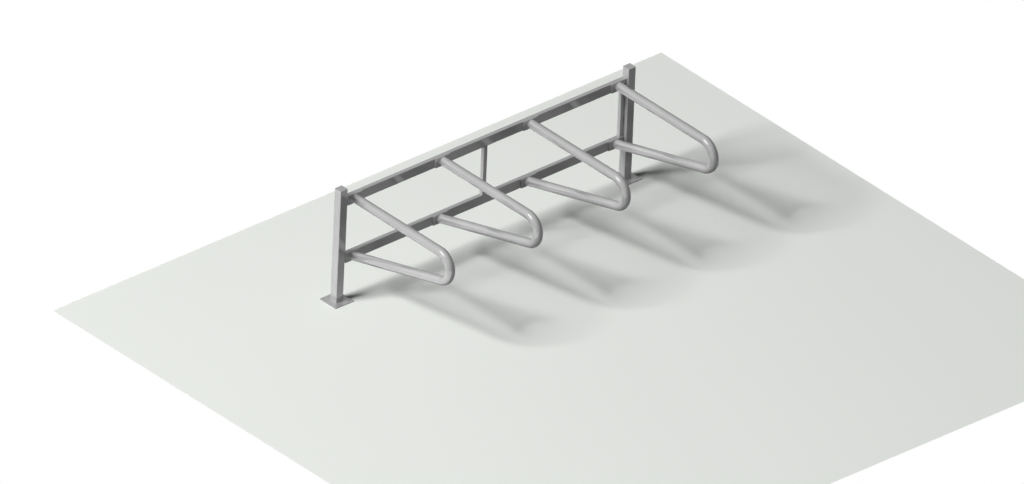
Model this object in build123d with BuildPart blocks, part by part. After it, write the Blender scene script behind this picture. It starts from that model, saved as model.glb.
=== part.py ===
from build123d import *
import math
import os

# Bike rack: two posts on base plates carry a ladder frame, and bent tube hoops are screwed to its rails.
# +X runs along the rails, the hoops reach out towards -Y, and the base plates stand on Z = 0.
# The origin is on the ground, in the middle of the rack's length and depth. Sizes are in millimetres.

# Posts, caps and base plates
overall_height = 842.0
post_size = 60.0
post_wall = 3.0
cap_thickness = 4.0
plate_length = 156.0
plate_depth = 156.0
plate_thickness = 6.0
plate_corner = 2.0
anchor_hole = 13.0
anchor_inset = 21.0
vent_hole = 20.0

# Ladder frame
rail_height = 70.0
rail_depth = 30.0
rail_wall = 3.0
rail_drop = 78.0
rail_spacing = 432.0
upright_width = 30.0
upright_wall = 2.5

# Hoops
hoop_count = 4
hoop_pitch = 750.0
tube_diameter = 63.5
tube_wall = 3.0
bend_radius = 105.0
hoop_reach = 970.0

# Flange plates and the gaps between the outer ones and the posts
flange_width = 122.0
flange_thickness = 8.0
flange_corner = 2.0
left_flange_gap = 27.0
right_flange_gap = 1.0

# Flange screws and the threaded bushes behind them
screw_diameter = 8.0
head_diameter = 16.0
head_angle = 90.0
socket_size = 5.0
socket_depth = 3.0
screw_edge = 11.0
screw_tip = 1.0
screw_end_gap = 5.0
bush_diameter = 14.0

# Clearances and small edge breaks
flange_hole_clearance = 1.0
head_clearance = 0.4
thread_clearance = 0.1
bush_clearance = 0.1
edge_break = 1.0

# A hollow section's corner is rolled to a multiple of its wall
outer_corner_per_wall = 1.5
inner_corner_per_wall = 0.5

# Places along X
clear_span = left_flange_gap + flange_width + (hoop_count - 1) * hoop_pitch + right_flange_gap
overall_length = clear_span + post_size + plate_length
span_left = -clear_span / 2
span_right = clear_span / 2
first_hoop_x = span_left + left_flange_gap + flange_width / 2
hoop_row_x = first_hoop_x + (hoop_count - 1) * hoop_pitch / 2
post_places = {"left": span_left - post_size / 2, "right": span_right + post_size / 2}

# Places along Y
plate_overhang = (plate_depth - post_size) / 2
overall_depth = rail_depth + hoop_reach + plate_overhang
frame_back_y = overall_depth / 2 - plate_overhang
post_y = frame_back_y - post_size / 2
rail_y = frame_back_y - rail_depth / 2
rail_front_y = frame_back_y - rail_depth
flange_front_y = rail_front_y - flange_thickness

# Anchor holes, measured from the middle of a base plate
anchor_x = plate_length / 2 - anchor_inset
anchor_y = plate_depth / 2 - anchor_inset

# Places along Z
post_height = overall_height - plate_thickness - cap_thickness
top_rail_z = overall_height - rail_drop - rail_height / 2
bottom_rail_z = top_rail_z - rail_spacing
rail_places = {"top": top_rail_z, "bottom": bottom_rail_z}
flange_places = {"upper": top_rail_z, "lower": bottom_rail_z}

# The hoop's upper leg is level, and its lower leg rises by the angle that the bend leaves
tube_radius = tube_diameter / 2
bend_run = hoop_reach - flange_thickness - bend_radius - tube_radius
bend_y = flange_front_y - bend_run
bend_drop = rail_spacing - bend_radius
leg_angle = math.acos(bend_radius / math.hypot(bend_drop, bend_run)) - math.atan2(bend_run, bend_drop)
bend_turn = 180 - math.degrees(leg_angle)
lower_leg_length = (bend_run + bend_radius * math.sin(leg_angle)) / math.cos(leg_angle)
trim_length = tube_diameter

# Screws and bushes
screw_spacing = flange_width - 2 * screw_edge
head_height = (head_diameter - screw_diameter) / 2 / math.tan(math.radians(head_angle / 2))
bush_length = rail_depth - rail_wall
screw_length = flange_thickness + bush_length - screw_end_gap


def facing_out(x, y, z):
    """A plane that faces the riders' side, with its own X along the rails and its own Y upwards."""
    return Plane(origin=(x, y, z), x_dir=(1, 0, 0), z_dir=(0, -1, 0))


def hollow_section(width, height, wall):
    """Draw the section of a square or rectangular tube in the open sketch."""
    RectangleRounded(width, height, wall * outer_corner_per_wall)
    RectangleRounded(
        width - 2 * wall, height - 2 * wall, wall * inner_corner_per_wall, mode=Mode.SUBTRACT
    )


os.makedirs("parts", exist_ok=True)

# Each post stands in the middle of a base plate, which is anchored at two opposite corners
for side, post_x in post_places.items():
    with BuildPart() as post:
        with BuildSketch(Plane(origin=(post_x, post_y, plate_thickness))):
            hollow_section(post_size, post_size, post_wall)
        extrude(amount=post_height)
    post.part.label = f"{side}_post"
    export_step(post.part, f"parts/{side}_post.step")

    with BuildPart() as post_cap:
        with BuildSketch(Plane(origin=(post_x, post_y, plate_thickness + post_height))):
            RectangleRounded(post_size, post_size, post_wall * outer_corner_per_wall)
        extrude(amount=cap_thickness)
        chamfer(post_cap.faces().sort_by(Axis.Z)[-1].edges(), length=edge_break)
    post_cap.part.label = f"{side}_post_cap"
    export_step(post_cap.part, f"parts/{side}_post_cap.step")

    with BuildPart() as base_plate:
        with BuildSketch(Plane(origin=(post_x, post_y, 0))):
            RectangleRounded(plate_length, plate_depth, plate_corner)
        extrude(amount=plate_thickness)
        chamfer(base_plate.faces().sort_by(Axis.Z)[-1].edges(), length=edge_break)
        with Locations(
            (post_x - anchor_x, post_y + anchor_y),
            (post_x + anchor_x, post_y - anchor_y),
        ):
            Hole(radius=anchor_hole / 2)
        with Locations((post_x, post_y)):
            Hole(radius=vent_hole / 2)
    base_plate.part.label = f"{side}_base_plate"
    export_step(base_plate.part, f"parts/{side}_base_plate.step")

# Rails between the posts, flush with the posts' backs, each with a row of threaded bushes let into it
for level, rail_z in rail_places.items():
    with BuildPart() as rail:
        with BuildSketch(Plane(origin=(span_left, rail_y, rail_z), x_dir=(0, 1, 0), z_dir=(1, 0, 0))):
            hollow_section(rail_depth, rail_height, rail_wall)
        extrude(amount=clear_span)
        with BuildSketch(facing_out(hoop_row_x, rail_front_y, rail_z)):
            with GridLocations(hoop_pitch, 0, hoop_count, 1):
                with GridLocations(screw_spacing, 0, 2, 1):
                    Circle((bush_diameter + bush_clearance) / 2)
        extrude(amount=-rail_wall, mode=Mode.SUBTRACT)
    rail.part.label = f"{level}_rail"
    export_step(rail.part, f"parts/{level}_rail.step")

    with BuildPart() as bushes:
        with BuildSketch(facing_out(hoop_row_x, rail_front_y, rail_z)):
            with GridLocations(hoop_pitch, 0, hoop_count, 1):
                with GridLocations(screw_spacing, 0, 2, 1):
                    Circle(bush_diameter / 2)
                    Circle((screw_diameter + thread_clearance) / 2, mode=Mode.SUBTRACT)
        extrude(amount=-bush_length)
    bushes.part.label = f"{level}_rail_bushes"
    export_step(bushes.part, f"parts/{level}_rail_bushes.step")

# Uprights stand between the rails: one against each post and one midway along the row of hoops
upright_places = {
    "left": span_left + upright_width / 2,
    "centre": hoop_row_x,
    "right": span_right - upright_width / 2,
}
for place, upright_x in upright_places.items():
    with BuildPart() as upright:
        with BuildSketch(Plane(origin=(upright_x, rail_y, bottom_rail_z + rail_height / 2))):
            hollow_section(upright_width, rail_depth, upright_wall)
        extrude(amount=rail_spacing - rail_height)
    upright.part.label = f"{place}_upright"
    export_step(upright.part, f"parts/{place}_upright.step")

# One countersunk socket screw, head upwards at the origin
with BuildPart() as screw:
    with BuildSketch(Plane.XZ):
        with BuildLine():
            Polyline(
                (0, 0),
                (head_diameter / 2, 0),
                (screw_diameter / 2, -head_height),
                (screw_diameter / 2, screw_tip - screw_length),
                (screw_diameter / 2 - screw_tip, -screw_length),
                (0, -screw_length),
                close=True,
            )
        make_face()
    revolve(axis=Axis.Z)
    with BuildSketch(Plane.XY):
        RegularPolygon(socket_size / 2, side_count=6, major_radius=False)
    extrude(amount=-socket_depth, mode=Mode.SUBTRACT)

# Hoops: one bend between a level leg and a rising one, both ends cut off square to their flange plates
for number in range(1, hoop_count + 1):
    hoop_x = first_hoop_x + (number - 1) * hoop_pitch

    with BuildPart() as hoop:
        with BuildLine(Plane.YZ.offset(hoop_x)) as route:
            upper_leg = Line((flange_front_y + trim_length, top_rail_z), (bend_y, top_rail_z))
            bend = JernArc(start=upper_leg @ 1, tangent=upper_leg % 1, radius=bend_radius, arc_size=bend_turn)
            Line(bend @ 1, bend @ 1 + (bend % 1) * (lower_leg_length + trim_length))
        with BuildSketch(Plane(origin=route.line @ 0, z_dir=route.line % 0)):
            Circle(tube_radius)
            Circle(tube_radius - tube_wall, mode=Mode.SUBTRACT)
        sweep()
        split(bisect_by=facing_out(hoop_x, flange_front_y, 0), keep=Keep.TOP)
    hoop.part.label = f"hoop_{number}"
    export_step(hoop.part, f"parts/hoop_{number}.step")

    for end, rail_z in flange_places.items():
        with BuildPart() as flange:
            with BuildSketch(facing_out(hoop_x, rail_front_y, rail_z)):
                RectangleRounded(flange_width, rail_height, flange_corner)
            extrude(amount=flange_thickness)
            chamfer(flange.faces().sort_by(Axis.Y)[0].edges(), length=edge_break)
            with Locations(facing_out(hoop_x, flange_front_y, rail_z)):
                with GridLocations(screw_spacing, 0, 2, 1):
                    CounterSinkHole(
                        radius=(screw_diameter + flange_hole_clearance) / 2,
                        counter_sink_radius=(head_diameter + head_clearance) / 2,
                        counter_sink_angle=head_angle,
                    )
        flange.part.label = f"hoop_{number}_{end}_flange"
        export_step(flange.part, f"parts/hoop_{number}_{end}_flange.step")

    with BuildPart() as screws:
        with Locations(*[facing_out(hoop_x, flange_front_y, rail_z) for rail_z in rail_places.values()]):
            with GridLocations(screw_spacing, 0, 2, 1):
                add(screw.part)
    screws.part.label = f"hoop_{number}_screws"
    export_step(screws.part, f"parts/hoop_{number}_screws.step")

print(f"rack {overall_length:.1f} long, {overall_depth:.1f} deep, {overall_height:.1f} high")
print(f"lower legs rise {math.degrees(leg_angle):.2f} degrees")
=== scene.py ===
# %% [markdown]
# # Dressing a bike rack
# The rack arrives as measured solids: two posts on base plates, a ladder frame between them, and four bent
# tube hoops that are screwed on by flange plates. Their shape and place are settled, so nothing here moves
# them. This lesson adds what a drawing leaves out: the finishes, the weld beads, the floor and the light.

import math

import bmesh
import bpy
from mathutils import Matrix, Vector


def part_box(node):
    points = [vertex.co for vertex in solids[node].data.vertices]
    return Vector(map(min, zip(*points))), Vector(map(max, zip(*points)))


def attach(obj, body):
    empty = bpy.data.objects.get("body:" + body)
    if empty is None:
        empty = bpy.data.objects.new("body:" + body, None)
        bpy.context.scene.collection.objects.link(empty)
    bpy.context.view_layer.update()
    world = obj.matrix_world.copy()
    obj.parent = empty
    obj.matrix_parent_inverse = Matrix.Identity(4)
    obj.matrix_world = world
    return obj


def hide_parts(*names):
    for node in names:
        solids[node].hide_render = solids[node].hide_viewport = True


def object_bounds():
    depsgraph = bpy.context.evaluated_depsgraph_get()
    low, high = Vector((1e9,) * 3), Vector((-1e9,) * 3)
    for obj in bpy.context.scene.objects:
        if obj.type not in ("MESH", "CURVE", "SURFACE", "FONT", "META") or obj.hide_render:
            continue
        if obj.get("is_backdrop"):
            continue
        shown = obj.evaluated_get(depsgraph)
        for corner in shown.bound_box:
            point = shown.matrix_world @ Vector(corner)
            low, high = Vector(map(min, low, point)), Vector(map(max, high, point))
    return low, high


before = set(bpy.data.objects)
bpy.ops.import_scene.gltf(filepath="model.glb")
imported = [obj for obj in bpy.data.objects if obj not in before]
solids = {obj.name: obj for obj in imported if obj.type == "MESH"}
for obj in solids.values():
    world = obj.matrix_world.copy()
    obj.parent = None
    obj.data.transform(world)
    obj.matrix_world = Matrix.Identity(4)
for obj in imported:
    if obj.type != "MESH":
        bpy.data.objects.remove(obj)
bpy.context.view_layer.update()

# %% [markdown]
# ## Measure before adding
# A weld sits where two pieces meet, so its place comes from the pieces. Typing the numbers again would work
# until someone changed a size. Reading each node's box keeps every bead on its seam.

# %% Places of the main pieces
SIDES = ("left", "right")
LEVELS = ("top", "bottom")
UPRIGHTS = ("left", "centre", "right")
HOOPS = (1, 2, 3, 4)

post = {side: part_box(f"{side}_post") for side in SIDES}
rail = {level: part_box(f"{level}_rail") for level in LEVELS}
upright = {place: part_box(f"{place}_upright") for place in UPRIGHTS}
hoop = {number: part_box(f"hoop_{number}") for number in HOOPS}
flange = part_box("hoop_1_upper_flange")
flange_front = flange[0].y
rail_middle = {level: (low.z + high.z) / 2 for level, (low, high) in rail.items()}
hoop_middle = {number: (low.x + high.x) / 2 for number, (low, high) in hoop.items()}
print("heights of the rails:", {level: round(z, 3) for level, z in rail_middle.items()})
print("places of the hoops:", {number: round(x, 3) for number, x in hoop_middle.items()})

# %% [markdown]
# ## The camera
# The picture has no vanishing points: the four hoops are drawn at one size, and every set of parallel edges
# stays parallel. That is an orthographic view, so the camera needs a scale instead of a lens. Three turns set
# its direction: round the upright axis, up from the horizon, and a small roll about the line of sight.

# %% Camera
PICTURE_WIDTH = 1024
PIXELS_PER_METRE = 155.82
VIEW_TURN = math.radians(-42.49)
VIEW_RISE = math.radians(31.30)
VIEW_ROLL = math.radians(2.46)
AIM = Vector((0.1384, 0.2982, 0.0))
CAMERA_DISTANCE = 12.0

turned = Matrix.Rotation(VIEW_TURN, 4, "Z")
raised = Matrix.Rotation(math.pi / 2 - VIEW_RISE, 4, "X")
rolled = Matrix.Rotation(VIEW_ROLL, 4, "Z")
facing = turned @ raised @ rolled

camera_data = bpy.data.cameras.new("camera")
camera_data.type = "ORTHO"
camera_data.ortho_scale = PICTURE_WIDTH / PIXELS_PER_METRE
camera = bpy.data.objects.new("camera", camera_data)
camera.matrix_world = Matrix.Translation(AIM) @ facing @ Matrix.Translation((0, 0, CAMERA_DISTANCE))
bpy.context.scene.collection.objects.link(camera)
bpy.context.scene.camera = camera
print("the picture is", round(camera_data.ortho_scale, 3), "m wide")

# %% [markdown]
# ## Turned steel
# The threaded bushes inside the rails are plain turned steel. A full metal is the easiest finish to start
# with, because only its tint and its roughness have to be chosen. Flat values would look like plastic, so one
# noise varies both a little. It reads Object coordinates, which fix it to the piece.

# %% Bushes
NOISE_LOW, NOISE_HIGH = 0.3, 0.7
STEEL_TINT = ((0.38, 0.38, 0.38), (0.52, 0.52, 0.52))
STEEL_ROUGHNESS = (0.30, 0.45)


def new_material(name):
    """A node material, its tree, and the sockets of its main shader."""
    material = bpy.data.materials.new(name)
    material.use_nodes = True
    return material, material.node_tree, material.node_tree.nodes["Principled BSDF"].inputs


def noise_on_object(tree, scale, detail):
    """A noise that is fixed to the piece."""
    place = tree.nodes.new("ShaderNodeTexCoord")
    noise = tree.nodes.new("ShaderNodeTexNoise")
    noise.inputs["Scale"].default_value = scale
    noise.inputs["Detail"].default_value = detail
    tree.links.new(place.outputs["Object"], noise.inputs["Vector"])
    return noise.outputs["Fac"]


def spread(tree, source, low, high, start=NOISE_LOW, end=NOISE_HIGH, smooth=False):
    """A value that goes from low to high while the source goes from start to end."""
    stretch = tree.nodes.new("ShaderNodeMapRange")
    stretch.interpolation_type = "SMOOTHSTEP" if smooth else "LINEAR"
    stretch.inputs["From Min"].default_value = start
    stretch.inputs["From Max"].default_value = end
    stretch.inputs["To Min"].default_value = low
    stretch.inputs["To Max"].default_value = high
    tree.links.new(source, stretch.inputs["Value"])
    return stretch.outputs["Result"]


def tint(tree, source, first, last):
    """A colour that goes from the first to the last while the source goes from 0 to 1."""
    ramp = tree.nodes.new("ShaderNodeValToRGB")
    ramp.color_ramp.elements[0].color = (*first, 1)
    ramp.color_ramp.elements[1].color = (*last, 1)
    tree.links.new(source, ramp.inputs["Fac"])
    return ramp.outputs["Color"]


def turned_steel():
    material, tree, shader = new_material("turned_steel")
    shader["Metallic"].default_value = 1.0
    clouds = noise_on_object(tree, scale=180.0, detail=3.0)
    tree.links.new(tint(tree, clouds, *STEEL_TINT), shader["Base Color"])
    tree.links.new(spread(tree, clouds, *STEEL_ROUGHNESS), shader["Roughness"])
    return material


bush_metal = turned_steel()
print("material:", bush_metal.name, "with", len(bush_metal.node_tree.nodes), "nodes")

# %% [markdown]
# ## The grey coating
# The steel is coated in a smooth mid grey that mirrors what stands next to it. A plain grey with a clear coat
# would mirror hard only at the edges of the tubes. The rack mirrors at every angle, as metal does, so
# Metallic is a little over one half and the roughness is small. Four noises break the flatness: slow clouds
# and fine flakes in the colour, smears in the gloss, and the ripple of sprayed coating as a bump.

# %% Coating
COAT_METAL = 0.58
COAT_SPECULAR = 0.30
COAT_TINT = ((0.52, 0.52, 0.52), (0.58, 0.58, 0.58))
COAT_ROUGHNESS = (0.02, 0.05)
FLAKE_SHARE = 0.25
SPRAY_STRENGTH = 0.10
SPRAY_DEPTH = 0.00005


def feed(tree, socket, source):
    """Link another node's output to a socket, or set the socket to a fixed value."""
    if isinstance(source, bpy.types.NodeSocket):
        tree.links.new(source, socket)
    else:
        socket.default_value = source


def maths(tree, operation, *terms):
    """A maths node, whose terms are numbers or the outputs of other nodes."""
    node = tree.nodes.new("ShaderNodeMath")
    node.operation = operation
    for socket, term in zip(node.inputs, terms):
        feed(tree, socket, term)
    return node.outputs[0]


def grey_coating():
    material, tree, shader = new_material("grey_coating")
    shader["Metallic"].default_value = COAT_METAL
    shader["Specular IOR Level"].default_value = COAT_SPECULAR

    clouds = spread(tree, noise_on_object(tree, scale=4.0, detail=4.0), 0.0, 1 - FLAKE_SHARE)
    flakes = noise_on_object(tree, scale=700.0, detail=1.0)
    mottle = maths(tree, "MULTIPLY_ADD", flakes, FLAKE_SHARE, clouds)
    tree.links.new(tint(tree, mottle, *COAT_TINT), shader["Base Color"])

    smears = noise_on_object(tree, scale=11.0, detail=5.0)
    tree.links.new(spread(tree, smears, *COAT_ROUGHNESS), shader["Roughness"])

    bump = tree.nodes.new("ShaderNodeBump")
    bump.inputs["Strength"].default_value = SPRAY_STRENGTH
    bump.inputs["Distance"].default_value = SPRAY_DEPTH
    tree.links.new(noise_on_object(tree, scale=320.0, detail=1.0), bump.inputs["Height"])
    tree.links.new(bump.outputs["Normal"], shader["Normal"])
    return material


coat = grey_coating()
print("material:", coat.name, "with", len(coat.node_tree.nodes), "nodes")

# %% [markdown]
# ## Screws
# The flange screws are plated. Their drive sockets lie in shade, so each one reads as a dark dot from a
# distance, and that shade is painted into the colour. It could be a small piece in each socket. One material
# does it for all sixteen instead: the screws repeat along the rails, so the distance to the nearest screw
# axis follows from the Object coordinates, and the tint turns dark close to it, as painted shade.

# %% Distance to the nearest screw
SCREW_EDGE = 0.011

hoop_pitch = hoop_middle[2] - hoop_middle[1]
screw_reach = (flange[1].x - flange[0].x) / 2 - SCREW_EDGE
frame_middle = (rail_middle["top"] + rail_middle["bottom"]) / 2
rail_reach = (rail_middle["top"] - rail_middle["bottom"]) / 2


def object_axes(tree):
    """X, Y and Z of a point of the piece."""
    axes = tree.nodes.new("ShaderNodeSeparateXYZ")
    tree.links.new(tree.nodes.new("ShaderNodeTexCoord").outputs["Object"], axes.inputs[0])
    return axes.outputs


def nearest_screw_distance(tree):
    """Distance from the nearest screw axis, seen from the front."""
    axes = object_axes(tree)
    first = hoop_middle[1]
    along = maths(tree, "WRAP", axes["X"], first + hoop_pitch / 2, first - hoop_pitch / 2)
    along = maths(tree, "ABSOLUTE", maths(tree, "SUBTRACT", along, first))
    upwards = maths(tree, "ABSOLUTE", maths(tree, "SUBTRACT", axes["Z"], frame_middle))
    flat = tree.nodes.new("ShaderNodeCombineXYZ")
    tree.links.new(maths(tree, "SUBTRACT", along, screw_reach), flat.inputs["X"])
    tree.links.new(maths(tree, "SUBTRACT", upwards, rail_reach), flat.inputs["Z"])
    length = tree.nodes.new("ShaderNodeVectorMath")
    length.operation = "LENGTH"
    tree.links.new(flat.outputs[0], length.inputs[0])
    return length.outputs["Value"]


print("screws are", round(screw_reach, 3), "m to either side of a hoop's middle")

# %% Plated screws
# Painted shade: within these distances of a screw's axis the tint turns near black, for its drive socket in
# shade.
SOCKET_SHADE_CORE = 0.0036
SOCKET_SHADE_EDGE = 0.0045
SOCKET_SHADE_AND_PLATING = ((0.03, 0.03, 0.03), (0.46, 0.47, 0.48))
SCREW_ROUGHNESS = (0.28, 0.42)


def plated_screw():
    material, tree, shader = new_material("plated_screw")
    shader["Metallic"].default_value = 1.0
    # Painted shade round each screw axis, going from near black to the plating's grey.
    outside_socket_shade = spread(tree, nearest_screw_distance(tree), 0.0, 1.0, SOCKET_SHADE_CORE, SOCKET_SHADE_EDGE, smooth=True)
    tree.links.new(tint(tree, outside_socket_shade, *SOCKET_SHADE_AND_PLATING), shader["Base Color"])
    smears = noise_on_object(tree, scale=260.0, detail=3.0)
    tree.links.new(spread(tree, smears, *SCREW_ROUGHNESS), shader["Roughness"])
    return material


screw_metal = plated_screw()
print("material:", screw_metal.name, "with", len(screw_metal.node_tree.nodes), "nodes")

# %% [markdown]
# ## Finishes on the solids
# Each solid already has one material slot, named for what it is made of. Putting a new material in that slot
# changes the finish and leaves the mesh alone.

# %% Hand out the finishes
FINISHES = {"coated_steel": coat, "screw_steel": screw_metal, "bush_steel": bush_metal}

for solid in solids.values():
    for material_slot in solid.material_slots:
        material_slot.material = FINISHES[material_slot.material.name]
print("finished solids:", len(solids))

# %% [markdown]
# ## The hoops
# Each hoop is one length of round tube, bent once on a bending machine. The lower leg rises by what the bend
# leaves of a half turn, and its end is cut off slanting, to sit flat on its plate. The solid is right but its
# surface is made of flat facets, which break up a mirror reflection. A tube could be a bevelled curve. Here a
# circle is drawn out and spun round the bend, as the machine does it, so the bend is a true arc and every
# reflection runs smoothly along it.

# %% Sizes of a hoop
BEND_RADIUS = 0.105

tube_radius = (hoop[1][1].x - hoop[1][0].x) / 2
bend_y = hoop[1][0].y + BEND_RADIUS + tube_radius
bend_run = flange_front - bend_y
bend_drop = rail_middle["top"] - rail_middle["bottom"] - BEND_RADIUS
leg_rise = math.acos(BEND_RADIUS / math.hypot(bend_drop, bend_run)) - math.atan2(bend_run, bend_drop)
leg_direction = Vector((0, math.cos(leg_rise), -math.sin(leg_rise)))
print("tube radius:", round(tube_radius, 5), "lower legs rise", round(math.degrees(leg_rise), 2), "degrees")

# %% Draw the tubes
TUBE_SIDES = 72
BEND_STEPS = 60
SPARE_LENGTH = 0.127
MERGE_DISTANCE = 1e-6


def wire(shape):
    """The edges that belong to no face yet, which is the outline just drawn."""
    return [edge for edge in shape.edges if not edge.link_faces]


def draw_out(shape, edges, matrix):
    """Extrude an outline, move the new outline by a matrix, and return its edges."""
    grown = bmesh.ops.extrude_edge_only(shape, edges=edges)["geom"]
    corners = [part for part in grown if isinstance(part, bmesh.types.BMVert)]
    bmesh.ops.transform(shape, matrix=matrix, verts=corners)
    shape.verts.index_update()
    known = {corner.index for corner in corners}
    return [
        part for part in grown
        if isinstance(part, bmesh.types.BMEdge) and all(corner.index in known for corner in part.verts)
    ]


def bent_tube(x):
    """Upper leg, bend and lower leg, trimmed where the lower leg meets the front of its plate."""
    top = rail_middle["top"]
    shape = bmesh.new()
    upright_circle = Matrix.Translation((x, flange_front, top)) @ Matrix.Rotation(math.pi / 2, 4, "X")
    bmesh.ops.create_circle(shape, segments=TUBE_SIDES, radius=tube_radius, matrix=upright_circle)
    outline = draw_out(shape, wire(shape), Matrix.Translation((0, -bend_run, 0)))
    corners = {corner.index: corner for edge in outline for corner in edge.verts}
    spun = bmesh.ops.spin(
        shape, geom=outline + list(corners.values()), cent=(x, bend_y, top - BEND_RADIUS), axis=(1, 0, 0),
        angle=math.pi - leg_rise, steps=BEND_STEPS, use_merge=False,
    )
    outline = [part for part in spun["geom_last"] if isinstance(part, bmesh.types.BMEdge)]
    draw_out(shape, outline, Matrix.Translation(leg_direction * (bend_run + SPARE_LENGTH)))
    everything = shape.verts[:] + shape.edges[:] + shape.faces[:]
    bmesh.ops.bisect_plane(
        shape, geom=everything, plane_co=(x, flange_front, 0), plane_no=(0, 1, 0), clear_outer=True,
        dist=MERGE_DISTANCE,
    )
    return shape


tube_shapes = {number: bent_tube(x) for number, x in hoop_middle.items()}
print("points in the tubes:", [len(shape.verts) for shape in tube_shapes.values()])

# %% Put the tubes on the rack
SHARP_EDGE = 40


def add_piece(shape, name, sharp_angle=SHARP_EDGE):
    """Close the shape, make it a coated piece of the rack and smooth what is round."""
    bmesh.ops.remove_doubles(shape, verts=shape.verts, dist=MERGE_DISTANCE)
    bmesh.ops.holes_fill(shape, edges=[edge for edge in shape.edges if edge.is_boundary])
    bmesh.ops.recalc_face_normals(shape, faces=shape.faces)
    mesh = bpy.data.meshes.new(name)
    shape.to_mesh(mesh)
    shape.free()
    mesh.shade_smooth()
    mesh.set_sharp_from_angle(angle=math.radians(sharp_angle))
    mesh.materials.append(coat)
    piece = bpy.data.objects.new(name, mesh)
    bpy.context.scene.collection.objects.link(piece)
    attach(piece, "root")
    print(name, "has", len(mesh.polygons), "faces")
    return piece


for number, shape in tube_shapes.items():
    tube = add_piece(shape, f"hoop_{number}_tube")
    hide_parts(f"hoop_{number}")

# %% [markdown]
# ## Weld beads
# Posts, plates, rails, uprights, hoops and flange plates are joined by welding. The pool of metal sets in
# ripples as the torch moves on, so a bead is a row of small swellings. A bevelled curve could stand for it,
# but it would come out smooth. Here a ring is drawn along the seam one ripple at a time, larger and smaller
# in turn. Its middle runs in the corner of the seam, so the steel hides most of it and a rounded fillet is
# left. The way round the foot of a post is written first, as the steps of a torch.

# %% Steps round the foot of a post
RIPPLE = 0.0015
SECTION_CORNER = 0.0045


def ahead(length):
    """Steps of one ripple, straight on."""
    count = max(1, round(length / RIPPLE))
    return [Matrix.Translation((0, 0, length / count))] * count


def round_corner(radius, angle):
    """Steps of one ripple, round a corner of the steel."""
    count = max(2, round(radius * angle / RIPPLE))
    pivot = Matrix.Translation((radius, 0, 0))
    return [pivot @ Matrix.Rotation(angle / count, 4, "Y") @ pivot.inverted()] * count


post_flat = post["left"][1].x - post["left"][0].x - 2 * SECTION_CORNER
quarter = round_corner(SECTION_CORNER, math.pi / 2)
whole_side = ahead(post_flat) + quarter
round_foot = ahead(post_flat / 2) + quarter + whole_side * 3 + ahead(post_flat / 2)
print("one bead round a foot has", len(round_foot), "ripples")

# %% Beads round the feet of the posts
FOOT_BEAD = 0.0022
BEAD_SIDES = 12
RIPPLE_SHRINK = 0.86
BEAD_END = 0.5
CLOSING_DISTANCE = 1e-5
SHARP_RIPPLE = 70

X, Y, Z = Vector((1, 0, 0)), Vector((0, 1, 0)), Vector((0, 0, 1))


def on_seam(start, heading, inward):
    """A pose whose Z runs along the seam and whose X points to the side that the seam turns to."""
    axes = Matrix((inward, heading.cross(inward), heading)).transposed()
    return Matrix.Translation(start) @ axes.to_4x4()


def even(radius):
    """A bead of one radius all the way."""
    return lambda share: radius


def bead(shape, pose, moves, size, closed=False):
    """Draw a ring along the moves; size gives its radius at each share of the way."""
    sizes = [size(done / len(moves)) * (1 if done % 2 else RIPPLE_SHRINK) for done in range(len(moves) + 1)]
    if closed:
        sizes[-1] = sizes[0]
    else:
        sizes[0], sizes[-1] = sizes[0] * BEAD_END, sizes[-1] * BEAD_END
    bmesh.ops.create_circle(shape, segments=BEAD_SIDES, radius=sizes[0], matrix=pose)
    outline = wire(shape)
    for move, before, after in zip(moves, sizes, sizes[1:]):
        step = pose @ move @ Matrix.Scale(after / before, 4) @ pose.inverted()
        outline = draw_out(shape, outline, step)
        pose = pose @ move
    if closed:
        ends = [corner for corner in shape.verts if corner.is_boundary]
        bmesh.ops.remove_doubles(shape, verts=ends, dist=CLOSING_DISTANCE)


for side, (low, high) in post.items():
    start = Vector(((low.x + high.x) / 2, high.y, low.z))
    shape = bmesh.new()
    bead(shape, on_seam(start, -X, -Y), round_foot, even(FOOT_BEAD), closed=True)
    add_piece(shape, f"{side}_foot_weld", SHARP_RIPPLE)

# %% [markdown]
# ## Collars of the hoops
# Each end of a hoop is welded to its flange plate all round. The plate is hardly taller than the tube, so the
# bead is thin above and below and full at the sides. The lower leg meets its plate at a slant, which makes
# the seam an oval. A path for an oval could be written, but a round collar whose pose is stretched upwards by
# the same share follows it too, and needs no new steps.

# %% Beads round the ends of the hoops
COLLAR_SIDE = 0.0040
COLLAR_TOP = {"top": 0.0021, "bottom": 0.0011}
STRETCH = {"top": 1.0, "bottom": 1 / math.cos(leg_rise)}

round_tube = round_corner(tube_radius, 2 * math.pi)


def full_at_sides(thin):
    """A bead that is thin above and below the tube and full at its sides."""
    return lambda share: thin + (COLLAR_SIDE - thin) * math.cos(2 * math.pi * share) ** 2


for number, middle_x in hoop_middle.items():
    shape = bmesh.new()
    for level, height in rail_middle.items():
        centre = Vector((middle_x, flange_front, height))
        there, back = Matrix.Translation(centre), Matrix.Translation(-centre)
        stretch = there @ Matrix.Scale(STRETCH[level], 4, Z) @ back
        pose = stretch @ on_seam(centre + X * tube_radius, Z, -X)
        bead(shape, pose, round_tube, full_at_sides(COLLAR_TOP[level]), closed=True)
    add_piece(shape, f"hoop_{number}_welds", SHARP_RIPPLE)

# %% [markdown]
# ## Seams of the rails
# A welder runs a bead wherever the torch can reach. At the left post the beads go over the top rail and down
# its front, and down the bottom rail and under it. At the right post a flange plate stands in the way, so
# only the top and the underside are welded. A function for each bead would repeat itself, so the seams are
# rows of one table: a start, a heading, the side that the bead turns to, and its steps.

# %% Beads of the rails
FRAME_BEAD = 0.0032

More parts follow.
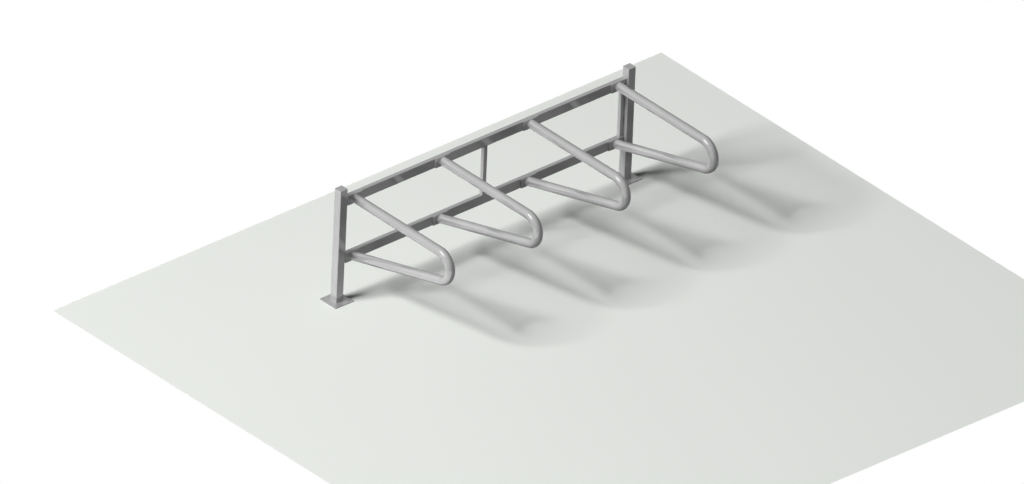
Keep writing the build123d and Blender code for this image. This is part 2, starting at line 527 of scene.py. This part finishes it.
left_x, right_x = rail["top"][0].x, rail["top"][1].x
top_z, bottom_z = rail["top"][1].z, rail["bottom"][0].z
rail_front, rail_back = rail["top"][0].y, rail["top"][1].y
seam_back = rail_back - SECTION_CORNER
front_top = rail["bottom"][1].z - SECTION_CORNER
across = ahead(seam_back - rail_front - SECTION_CORNER)
down = ahead(top_z - rail["top"][0].z - 2 * SECTION_CORNER)

rail_seams = (
    (Vector((left_x, seam_back, top_z)), -Y, -Z, across + quarter + down),
    (Vector((left_x, rail_front, front_top)), -Z, Y, down + quarter + across),
    (Vector((right_x, seam_back, top_z)), -Y, -Z, across),
    (Vector((right_x, seam_back, bottom_z)), -Y, Z, across),
)
shape = bmesh.new()
for start, heading, inward, moves in rail_seams:
    bead(shape, on_seam(start, heading, inward), moves, even(FRAME_BEAD))
add_piece(shape, "rail_welds", SHARP_RIPPLE)

# %% [markdown]
# ## Seams of the uprights
# The uprights are welded to the rails on their free flanks. The end ones are also stitched to their posts.
# One long bead could do that, but a welder sets three short ones, since a long one would pull the thin tube
# out of line.

# %% Beads of the uprights
FREE_FLANKS = {"left": ("high",), "centre": ("low", "high"), "right": ("low",)}
STITCH_LENGTH = 0.040
STITCH_SHARES = (0.15, 0.5, 0.85)

shape = bmesh.new()
for place, (low, high) in upright.items():
    for flank in FREE_FLANKS[place]:
        flank_x = low.x if flank == "low" else high.x
        for height in (low.z, high.z):
            bead(shape, on_seam(Vector((flank_x, seam_back, height)), -Y, X), across, even(FRAME_BEAD))
for place, post_x in (("left", left_x), ("right", right_x)):
    low, high = upright[place]
    for share in STITCH_SHARES:
        middle_z = low.z + (high.z - low.z) * share
        start = Vector((post_x, rail_front, middle_z - STITCH_LENGTH / 2))
        bead(shape, on_seam(start, Z, Y), ahead(STITCH_LENGTH), even(FRAME_BEAD))
add_piece(shape, "upright_welds", SHARP_RIPPLE)

# %% [markdown]
# ## The floor
# The rack stands on a pale rectangle of floor with white all round it.

# %% Floor
FLOOR_LOW = Vector((-2.754, -3.201, 0.0))
FLOOR_HIGH = Vector((2.439, 1.470, 0.0))

floor_shape = bmesh.new()
bmesh.ops.create_grid(floor_shape, x_segments=1, y_segments=1, size=0.5)
bmesh.ops.scale(floor_shape, vec=FLOOR_HIGH - FLOOR_LOW, verts=floor_shape.verts)
bmesh.ops.translate(floor_shape, vec=(FLOOR_LOW + FLOOR_HIGH) / 2, verts=floor_shape.verts)
floor_mesh = bpy.data.meshes.new("floor")
floor_shape.to_mesh(floor_mesh)
floor_shape.free()
floor = bpy.data.objects.new("floor", floor_mesh)
bpy.context.scene.collection.objects.link(floor)
floor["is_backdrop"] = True
print("floor:", [round(side, 3) for side in FLOOR_HIGH - FLOOR_LOW])

# %% [markdown]
# ## Floor paint
# A floor this pale would throw a lot of light back up and wash out the shaded fronts of the rails, and the
# coating would mirror it too brightly. Light Path splits the colour in three. The eye sees the pale one. The
# coating mirrors a greyer one, which is darkest in front of the rack, as painted shade, brighter behind it,
# and brightest to its left, as painted light. Scattered light meets an almost black one.

# %% Grey that the coating mirrors
# Painted shade and light, seen only in reflections: darker in front of the rack, brighter to the left of the
# left post.
FLOOR_MIRRORED = {"in front": 0.46, "behind": 0.69, "far left": 0.80, "left foot": 1.00}
FRONT_END_Y, BACK_START_Y = 0.1, 0.4
FAR_LEFT_OF_POST, LEFT_OF_POST, RIGHT_OF_POST = 1.0, 0.1, 0.05
MIX_SOCKETS = {"FLOAT": (2, 3, 0), "RGBA": (6, 7, 2)}

floor_material, floor_tree, floor_shader = new_material("floor_paint")


def mix(tree, kind, factor, first, second):
    """The first value where the factor is 0 and the second where it is 1, each fixed or linked."""
    node = tree.nodes.new("ShaderNodeMix")
    node.data_type = kind
    first_socket, second_socket, result = MIX_SOCKETS[kind]
    feed(tree, node.inputs[0], factor)
    feed(tree, node.inputs[first_socket], first)
    feed(tree, node.inputs[second_socket], second)
    return node.outputs[result]


def mirrored_floor(tree):
    """The grey of each place on the floor, as the coating mirrors it, with painted shade in front of the rack
    and painted light to its left.
    """
    axes = object_axes(tree)
    grey = FLOOR_MIRRORED
    far_x = post["left"][0].x - FAR_LEFT_OF_POST
    near_x = post["left"][0].x - LEFT_OF_POST
    past_x = post["left"][1].x + RIGHT_OF_POST
    under = spread(tree, axes["Y"], grey["in front"], grey["behind"], FRONT_END_Y, BACK_START_Y)
    leftwards = spread(tree, axes["X"], grey["far left"], grey["left foot"], far_x, near_x)
    past_post = spread(tree, axes["X"], 0.0, 1.0, near_x, past_x)
    return mix(tree, "FLOAT", past_post, leftwards, under)


floor_grey = mirrored_floor(floor_tree)
print("mirrored floor:", len(floor_tree.nodes), "nodes")

# %% Split by ray
FLOOR_SEEN = (0.810, 0.835, 0.800, 1)
FLOOR_FOR_SCATTERED_LIGHT = (0.04, 0.04, 0.04, 1)
FLOOR_ROUGHNESS = 0.9


def by_ray(tree, to_the_eye, mirrored, scattered):
    """One colour for the eye, also through glass, one for mirrors, and one for scattered light."""
    rays = tree.nodes.new("ShaderNodeLightPath").outputs
    unseen = mix(tree, "RGBA", rays["Is Glossy Ray"], scattered, mirrored)
    eye = maths(tree, "MAXIMUM", rays["Is Camera Ray"], rays["Is Transmission Ray"])
    return mix(tree, "RGBA", eye, unseen, to_the_eye)


floor_colour = by_ray(floor_tree, FLOOR_SEEN, floor_grey, FLOOR_FOR_SCATTERED_LIGHT)
floor_tree.links.new(floor_colour, floor_shader["Base Color"])
floor_shader["Roughness"].default_value = FLOOR_ROUGHNESS
floor_shader["Specular IOR Level"].default_value = 0.0
floor_mesh.materials.append(floor_material)
print("floor paint:", len(floor_tree.nodes), "nodes")

# %% [markdown]
# ## Lamps
# The shadows all fall one way and blur with distance, so the main lamp is a wide disc, to the left and a
# little behind. A sun lamp could be as wide, but a disc at a finite distance also leaves the near side of the
# floor slightly brighter. A narrow lamp lower down adds longer, crisper shadows. A third one, almost level,
# brightens the left faces and hardly lights the floor. Mirrored in the coating, these lamps would burn out
# every tube, so reflections don't show them. A fourth disc, which lights nothing, gives the small glints on
# the bends. It hangs nearer than the others, since a disc in the same plane could hide it.

# %% Lamps
LAMP_DISTANCE = 60.0
GLINT_DISTANCE = 54.0
LAMPS = {
    "soft_lamp": {"side": 13.6, "rise": 41.6, "width": 21.5, "light": 3.94, "distance": LAMP_DISTANCE},
    "low_lamp": {"side": 6, "rise": 20.7, "width": 6.5, "light": 0.62, "distance": LAMP_DISTANCE},
    "side_lamp": {"side": 15, "rise": 5, "width": 20, "light": 0.50, "distance": LAMP_DISTANCE},
    "glint_lamp": {"side": 13, "rise": 39, "width": 30, "light": 0.32, "distance": GLINT_DISTANCE},
}
MIRRORED_LAMP = "glint_lamp"


def towards(side, rise):
    """The direction of a lamp so far behind the left side and so high, in degrees."""
    side, rise = math.radians(side), math.radians(rise)
    return Vector((-math.cos(side) * math.cos(rise), math.sin(side) * math.cos(rise), math.sin(rise)))


def far_disc(name, side, rise, width, light, distance):
    """A round lamp that is so wide, in degrees, and gives so much light on a face turned to it."""
    data = bpy.data.lights.new(name, "AREA")
    data.shape = "DISK"
    data.size = 2 * distance * math.tan(math.radians(width) / 2)
    data.energy = math.pi * distance**2 * light
    lamp = bpy.data.objects.new(name, data)
    lamp.location = towards(side, rise) * distance
    lamp.rotation_mode = "QUATERNION"
    lamp.rotation_quaternion = towards(side, rise).to_track_quat("Z", "Y")
    lamp.visible_glossy = name == MIRRORED_LAMP
    lamp.visible_diffuse = name != MIRRORED_LAMP
    bpy.context.scene.collection.objects.link(lamp)
    return lamp


lamps = {name: far_disc(name, **setting) for name, setting in LAMPS.items()}
for name, lamp in lamps.items():
    print(name, "is", round(lamp.data.size, 1), "m wide, at", [round(part, 1) for part in lamp.location])

# %% [markdown]
# ## The rim of the soft lamp
# A disc of even light gives shadows that fade evenly. The shadows in the picture have double edges, as a lamp
# with a bright rim gives them. A ring of small lamps could do that, but a lamp has nodes of its own:
# Parametric tells where on the disc a ray starts, and the strength grows with a power of the distance from
# its middle. The mean over the disc stays 1, so the lamp gives as much light as before.

# %% Brighter rim
DISC_MIDDLE = (0.5, 0.5, 0)
DISC_RADIUS = 0.5
MIDDLE_STRENGTH = 0.30
RIM_POWER = 4


def brighten_rim(lamp_data):
    """Shift the lamp's light towards its rim, and keep its mean."""
    lamp_data.use_nodes = True
    tree = lamp_data.node_tree
    from_middle = tree.nodes.new("ShaderNodeVectorMath")
    from_middle.operation = "DISTANCE"
    from_middle.inputs[1].default_value = DISC_MIDDLE
    tree.links.new(tree.nodes.new("ShaderNodeNewGeometry").outputs["Parametric"], from_middle.inputs[0])
    outwards = maths(tree, "DIVIDE", from_middle.outputs["Value"], DISC_RADIUS)
    rising = maths(tree, "POWER", outwards, RIM_POWER)
    gain = (1 - MIDDLE_STRENGTH) * (RIM_POWER + 2) / 2
    strength = maths(tree, "MULTIPLY_ADD", rising, gain, MIDDLE_STRENGTH)
    tree.links.new(strength, tree.nodes["Emission"].inputs["Strength"])
    return MIDDLE_STRENGTH + gain


rim_strength = brighten_rim(lamps["soft_lamp"].data)
print("strength from", MIDDLE_STRENGTH, "in the middle to", round(rim_strength, 2), "at the rim")

# %% [markdown]
# ## The room round it
# The room is split in three as the floor is: white for the eye, almost black for scattered light, and for the
# coating a grey that is brighter towards the lamp. That slope is what shades the tubes from their lit side to
# the other one. A paler patch low behind the rack, like a window, adds a soft streak along their upper left.

# %% World
SKY_GREY = (0.02, 0.02, 0.02, 1)
WHITE = (1, 1, 1, 1)
SKY_GLOW_GREYS, SKY_GLOW_COSINES = (0.36, 0.64), (-0.4, 0.9)
WINDOW_SIDE, WINDOW_RISE = 65, 17
WINDOW_GREYS, WINDOW_COSINES = (0.0, 0.25), (0.90, 0.99)

world = bpy.data.worlds.new("studio")
world.use_nodes = True
bpy.context.scene.world = world
sky = world.node_tree


def glow(side, rise, greys, cosines, smooth=False):
    """A grey that grows towards a direction, between two cosines of the angle to it."""
    nearness = sky.nodes.new("ShaderNodeVectorMath")
    nearness.operation = "DOT_PRODUCT"
    nearness.inputs[1].default_value = towards(side, rise)
    sky.links.new(sky.nodes.new("ShaderNodeTexCoord").outputs["Generated"], nearness.inputs[0])
    return spread(sky, nearness.outputs["Value"], *greys, *cosines, smooth=smooth)


soft_lamp = LAMPS["soft_lamp"]
lamp_glow = glow(soft_lamp["side"], soft_lamp["rise"], SKY_GLOW_GREYS, SKY_GLOW_COSINES)
window = glow(WINDOW_SIDE, WINDOW_RISE, WINDOW_GREYS, WINDOW_COSINES, smooth=True)
sky_colour = by_ray(sky, WHITE, maths(sky, "ADD", lamp_glow, window), SKY_GREY)
sky.links.new(sky_colour, sky.nodes["Background"].inputs["Color"])
bpy.context.scene.view_settings.view_transform = "Standard"
print("world: white to the eye, grey", SKY_GREY[0], "for scattered light,", len(sky.nodes), "nodes")

# %% [markdown]
# ## Size
# What was added should stay inside the box of the solids. The box of everything shown, floor left out, is
# printed.

# %% Sizes
low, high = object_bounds()
print("visual box:", [round(side, 3) for side in high - low])
